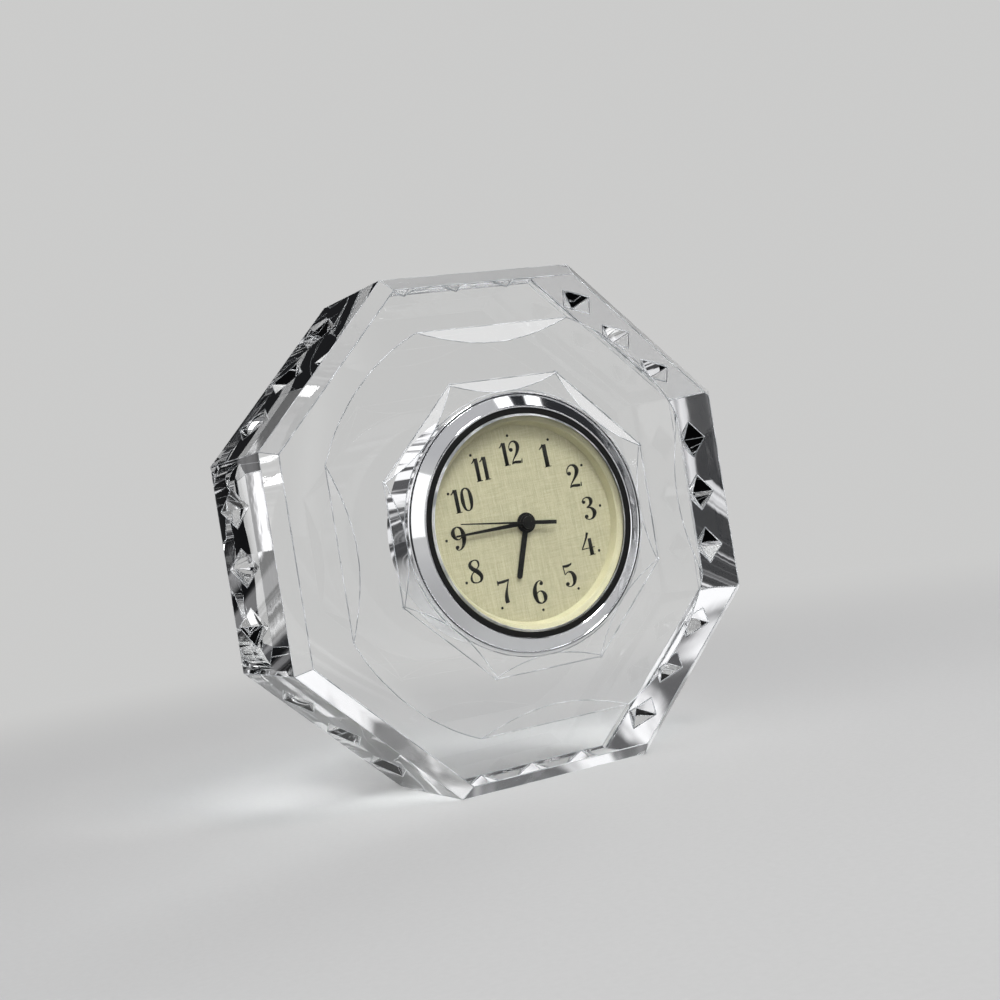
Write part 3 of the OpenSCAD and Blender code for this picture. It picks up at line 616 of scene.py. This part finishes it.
def print_figure(bm, figure, left, foot, wider):
    """Adds one figure to the dial, its lower left corner at left and foot: strips and round ends."""
    def printed(x, y):
        return bm.verts.new(spot(left + x * wider, foot + y * NUMERAL_TALL, DIAL_H + INK_THICK))

    strokes, balls = figure[1:]
    for stroke in strokes:
        line = curve_through(stroke)
        before = None
        for k, point in enumerate(line):
            along = line[min(k + 1, len(line) - 1)] - line[max(k - 1, 0)]
            out = Vector((-along.y, along.x)).normalized() * point.z
            pair = printed(point.x - out.x, point.y - out.y), printed(point.x + out.x, point.y + out.y)
            if before:
                bm.faces.new((before[0], pair[0], pair[1], before[1]))
            before = pair
    for x, y, r in balls:
        bm.faces.new([printed(x + r * math.cos(a), y + r * math.sin(a))
                      for a in (math.tau * k / BALL_SIDES for k in range(BALL_SIDES))])


ink = grained("dial_print", size=0.00005, dark=(0.004, 0.004, 0.004), light=(0.014, 0.013, 0.012),
              roughness=(0.5, 0.2), relief=(0.00001, 0.3), detail=2, **{"Specular IOR Level": 0.25})
bm = bmesh.new()
for hour in range(1, 13):
    hour_angle = math.radians(90 - 30 * hour)
    figures = [DIGITS[c] for c in str(hour)]
    gaps = len(figures) - 1
    wider = NUMERAL_TALL * (1.0 if gaps else ONE_FIGURE_WIDER)
    whole = sum(figure[0] for figure in figures) * wider + GAP * gaps
    left = (NUMERAL_OVAL[0] - TWO_FIGURES_INWARDS * gaps) * math.cos(hour_angle) - whole / 2
    foot = NUMERAL_OVAL[1] * math.sin(hour_angle) - NUMERAL_TALL / 2
    for figure in figures:
        print_figure(bm, figure, left, foot, wider)
        left += figure[0] * wider + GAP
numerals = piece("dial_numerals", to_mesh(bm, "numerals"), ink, "insert", "hand_black")
thick = numerals.modifiers.new("ink", "SOLIDIFY")
thick.thickness, thick.offset = INK_THICK * MM, -1


def ring_of_dots(t, given):
    """Flat round dots on a circle, one at each hour."""
    places = t.node("GeometryNodeMeshCircle", inputs={
        "Vertices": given.out("Count"), "Radius": given.out("Ring radius")})
    dot = t.node("GeometryNodeMeshCylinder", inputs={
        "Vertices": DOT_SIDES, "Radius": given.out("Dot radius"), "Depth": given.out("Thickness")})
    return t.node("GeometryNodeInstanceOnPoints", inputs={"Points": places, "Instance": dot})


dial_plane = (Matrix.Translation(spot(0, 0, DIAL_H + INK_THICK / 2)) @ Matrix.Rotation(-TURN, 4, "Y")
              @ Matrix.Rotation(math.radians(90), 4, "X"))
grown("dial_dots", bpy.data.meshes.new("dots"), {
    "Count": 12, "Ring radius": DOT_RING_R * MM, "Dot radius": DOT_R * MM, "Thickness": INK_THICK * MM},
    ring_of_dots, ink, "insert", "hand_black", dial_plane)

# Flange
# Moulded ring in pale cream, pressed down on the dial. Its steep wall frames the dial, and its sloping
# face carries the lens.
FLANGE = [(18.60, -1.65), (20.45, -1.65), (20.45, 0.25), (20.2, 0.25), (19.2, -0.1)]

cream, t = new_finish("cream_flange")
mottle = grain(t, 0.002, detail=3)
solid(t, **{"Base Color": t.blend(mottle, (0.50, 0.47, 0.30), (0.58, 0.55, 0.37)),
            "Roughness": 0.3 + mottle * 0.15, "Coat Weight": 0.3,
            "Normal": bumped(t, grain(t, 0.0002), 0.00002, 0.3)})
flange = piece("dial_flange_moulded", to_mesh(turned(FLANGE), "flange", corner=20), cream, "insert",
               "flange_plastic", "dial_flange")
edged(flange, width=0.12, steps=3, corner=12)

# Lens and gasket
# Flat mineral glass with a bevelled rim, pushed into a black rubber ring that seals it in the bezel.
LENS = [(0, 0.25), (20.5, 0.25), (20.5, 1.55), (20.1, 1.95), (0, 1.95)]
LENS_RIM = [(20.34, 1.64), (20.46, 1.52), (20.49, 1.56), (20.14, 1.91), (20.06, 1.92)]
GASKET = [(20.55, -1.45), (21.6, -1.45), (21.6, 1.5), (20.55, 1.5)]

lens_glass, t = new_finish("lens_glass")
dust = grain(t, 0.003, detail=4)
lets_lamps_through(t, t.node("ShaderNodeBsdfPrincipled", inputs={
    "Base Color": t.blend(dust, (0.985, 0.99, 0.985), (0.995, 1.0, 0.995)),
    "Roughness": 0.002 + dust * 0.008,
    "IOR": 1.5,
    "Transmission Weight": 1.0,
    "Normal": bumped(t, dust, 0.000002, 0.2)}), (0.96, 0.97, 0.96))
piece("lens_polished", to_mesh(turned(LENS), "lens", corner=20), lens_glass, "insert", "lens_glass", "lens")
# A thin ring on the lens's bevelled rim, in the white edge finish, is a painted highlight of the rim
piece("lens_rim_highlight", to_mesh(turned(LENS_RIM), "lens_rim"), arris_highlight_finish, "insert", "lens_glass")

seal = grained("gasket_rubber", size=0.0005, dark=(0.002, 0.002, 0.002), light=(0.007, 0.007, 0.006),
               roughness=(0.5, 0.2), relief=(0.00001, 0.4), **{"Specular IOR Level": 0.2})
gasket = piece("lens_gasket_ring", to_mesh(turned(GASKET), "gasket"), seal, "insert", "gasket_rubber",
               "lens_gasket")
edged(gasket, width=0.15, steps=3)

# Bezel
# Brass turned on a lathe, polished and chrome plated: a low rim on the block, a conical face up to the
# opening, and a skirt that is pressed over the case.
BEZEL = [(21.75, -4.65), (22.25, -4.65), (22.25, 0), (24.7, 0), (24.7, 0.33), (24.55, 0.45),
         (24.2, 0.45), (24.1, 0.33), (22.1, 1.72), (21.85, 1.8), (21.65, 1.68), (21.65, -1.45),
         (21.75, -1.45)]
BEZEL_STEPS = 192

chrome, t = new_finish("polished_chrome")
swirl = grain(t, 0.004, detail=4)
solid(t, **{"Base Color": t.blend(swirl, (0.80, 0.81, 0.83), (0.88, 0.885, 0.90)), "Metallic": 1.0,
            "Roughness": 0.035 + swirl * 0.04, "Normal": bumped(t, grain(t, 0.001), 0.000001, 0.4)})
bezel = piece("bezel_turned", to_mesh(turned(BEZEL, BEZEL_STEPS), "bezel", corner=20), chrome, "insert",
              "bezel_chrome", "bezel")
edged(bezel, width=0.07, steps=3, corner=12)

# Hands
# Stamped brass, painted black: a round-ended baton for the hours, a slim pointed minute hand, and a thin
# second hand with a heavier tail and a turned cap, pressed on in that order.
paint = grained("black_hands", size=0.0004, dark=(0.004, 0.004, 0.004), light=(0.012, 0.012, 0.011),
                roughness=(0.28, 0.15), relief=(0.00001, 0.3), **{"Specular IOR Level": 0.3})
for node, body in (("hour_hand", "hour_pipe"), ("minute_hand", "minute_arbor"),
                   ("second_hand", "second_arbor")):
    hand = piece(node + "_stamped", to_mesh(merged_copy(node), node), paint, body, "hand_black", node)
    edged(hand, width=0.05)

# Movement
# Quartz step movement: brass wheels and arbors, steel motor parts, copper coil, moulded plates and a
# small circuit board with its cell. All of it is closed in by the case.
brass = grained("train_brass", size=0.0003, dark=(0.55, 0.40, 0.16), light=(0.76, 0.60, 0.30),
                roughness=(0.24, 0.2), relief=(0.00001, 0.4), stretch=(1, 20, 1), Metallic=1.0)
steel = grained("plated_steel", size=0.0005, dark=(0.42, 0.42, 0.43), light=(0.66, 0.66, 0.67),
                roughness=(0.25, 0.2), relief=(0.00001, 0.4), stretch=(1, 1, 8), Metallic=1.0)
moulding = grained("movement_moulding", size=0.0004, dark=(0.55, 0.55, 0.53), light=(0.66, 0.66, 0.64),
                   roughness=(0.45, 0.2), relief=(0.00002, 0.4), detail=4)
laminate = grained("board_laminate", size=0.0005, dark=(0.012, 0.09, 0.035), light=(0.03, 0.16, 0.06),
                   roughness=(0.3, 0.15), relief=(0.00002, 0.4))
resin = grained("chip_resin", size=0.001, dark=(0.010, 0.010, 0.010), light=(0.030, 0.030, 0.030),
                roughness=(0.3, 0.3), relief=(0.00005, 0.4))
copper, t = new_finish("coil_wire")
turns = t.node("ShaderNodeTexWave", {"bands_direction": "Z"}, {
    "Vector": t.node("ShaderNodeTexCoord", out="Object"), "Scale": 2600.0}, "Fac")
solid(t, **{"Base Color": t.blend(turns, (0.22, 0.07, 0.02), (0.62, 0.26, 0.10)), "Metallic": 0.8,
            "Roughness": 0.35 + turns * 0.2, "Normal": bumped(t, turns, 0.00005, 0.8)})

for finish, *kept in (
        (brass, "hour_wheel", "minute_wheel", "center_wheel", "third_wheel", "second_wheel",
         "fifth_wheel", "cell_minus_clip", "cell_plus_clip"),
        (steel, "rotor", "stator", "coil_core", "quartz_can", "button_cell", "plate_screws",
         "bridge_screws", "board_screws", "core_screws"),
        (copper, "coil"), (moulding, "main_plate", "train_bridge"), (laminate, "circuit_board"),
        (resin, "control_chip")):
    for node in kept:
        nodes[node].data.materials.clear()
        nodes[node].data.materials.append(finish)

# Back of the insert
# Cover in fine-grained dark plastic with faint turning marks, the black snap-in hatch over the cell, and
# the light grey fluted knob that sets the hands.
TURNING_PITCH = 0.0008

marked, t = new_finish("back_moulding")
from_axis = t.vector("LENGTH", t.vector("MULTIPLY", t.vector(
    "SUBTRACT", t.node("ShaderNodeTexCoord", out="Object"), (0, 0, AXIS_Z)), (1, 0, 1)), out="Value")
turning = from_axis.math("PINGPONG", from_axis, TURNING_PITCH / 2) / (TURNING_PITCH / 2)
pits = grain(t, 0.00025, detail=4)
solid(t, **{"Base Color": t.blend(pits, (0.065, 0.065, 0.068), (0.105, 0.105, 0.110)),
            "Roughness": 0.30 + pits * 0.2, "Normal": bumped(t, pits * 0.10 + turning * 0.10, 0.0005, 0.8)})
hatch_black = grained("hatch_moulding", size=0.0004, dark=(0.018, 0.018, 0.019), light=(0.045, 0.045, 0.047),
                      roughness=(0.40, 0.2), relief=(0.00004, 0.5), detail=4)
knob_grey = grained("knob_moulding", size=0.0006, dark=(0.30, 0.30, 0.29), light=(0.38, 0.38, 0.37),
                    roughness=(0.35, 0.2), relief=(0.00004, 0.5), detail=4)
for node, body, finish, rounding in (("back_cover", "insert", marked, 0.15),
                                     ("battery_hatch", "hatch", hatch_black, 0.15),
                                     ("setting_knob", "knob_arbor", knob_grey, 0.06)):
    moulded = piece(node + "_moulded", to_mesh(merged_copy(node), node), finish, body, "back_plastic", node)
    edged(moulded, width=rounding, steps=3)
